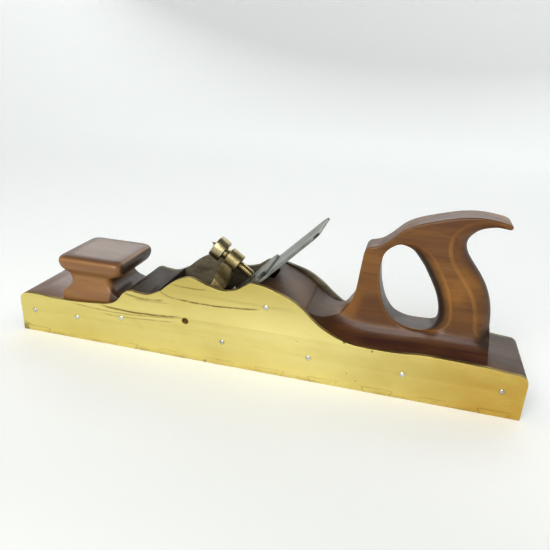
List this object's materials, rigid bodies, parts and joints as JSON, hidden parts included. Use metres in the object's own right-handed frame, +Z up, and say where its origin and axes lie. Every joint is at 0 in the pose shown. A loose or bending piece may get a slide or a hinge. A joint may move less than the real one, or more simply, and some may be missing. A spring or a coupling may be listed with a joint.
{
  "type": "infill bench plane",
  "caption": "Brass-bodied bench plane with hardwood infills, a moulded front bun, a closed rear handle and a lever cap locked by a thumb screw, for flattening boards.",
  "frame": {"origin": "centre of the bounding box's footprint, on the underside of the sole", "axes": "+X runs along the sole from the toe to the heel, +Z is up, +Y is towards the right side plate"},
  "size_m": [0.45, 0.0682, 0.152],
  "materials": {
    "brass_body": "polished, lightly worn and tarnished",
    "aged_brass": "tarnished, semi-gloss",
    "mahogany": "french polished",
    "bright_steel": "ground, satin",
    "dark_steel": "dark patina"
  },
  "bodies": {
    "plane_body": {"sole_plate": "brass_body", "left_side_plate": "brass_body", "right_side_plate": "brass_body", "front_infill": "mahogany", "rear_infill": "mahogany", "rear_handle": "mahogany", "lever_cap_pin": "dark_steel", "cross_rivet_1": "bright_steel", "cross_rivet_2": "bright_steel", "cross_rivet_3": "bright_steel", "cross_rivet_4": "bright_steel", "cross_rivet_5": "bright_steel", "cross_rivet_6": "bright_steel", "cross_rivet_7": "bright_steel", "cross_rivet_8": "bright_steel"},
    "iron": {"cutting_iron": "bright_steel"},
    "cap_iron_set": {"cap_iron": "bright_steel", "cap_iron_bush": "aged_brass"},
    "cap_screw": {"cap_iron_screw": "dark_steel"},
    "lever": {"lever_cap": "aged_brass"},
    "screw": {"thumb_screw_shank": "aged_brass"},
    "knob": {"thumb_screw_knob": "aged_brass"}
  },
  "joints": [
    {"name": "iron_slide", "type": "slide", "parent": "plane_body", "child": "iron", "axis": [0.6997, 0, 0.7145], "range_m": [-0.001, 0.006]},
    {"name": "cap_iron_slide", "type": "slide", "parent": "iron", "child": "cap_iron_set", "axis": [0.6997, 0, 0.7145], "range_m": [0, 0.006]},
    {"name": "cap_screw_turn", "type": "hinge", "parent": "cap_iron_set", "child": "cap_screw", "pos_m": [-0.02172, 0, 0.05001], "axis": [-0.7145, 0, 0.6997], "continuous": true},
    {"name": "lever_cap_tilt", "type": "hinge", "parent": "plane_body", "child": "lever", "pos_m": [-0.0567, 0, 0.0375], "axis": [0, 1, 0], "range_deg": [0, 4]},
    {"name": "screw_feed", "type": "slide", "parent": "lever", "child": "screw", "axis": [-0.8212, 0, 0.5707], "range_m": [0, 0.0042]},
    {"name": "knob_turn", "type": "hinge", "parent": "screw", "child": "knob", "pos_m": [-0.03621, 0, 0.09596], "axis": [-0.8212, 0, 0.5707], "range_deg": [0, 1080]}
  ],
  "couplings": [
    {"joint": "knob_turn", "follows": "screw_feed", "rad_per_m": 4453},
    {"joint": "lever_cap_tilt", "follows": "screw_feed", "rad_per_m": 16.08}
  ]
}
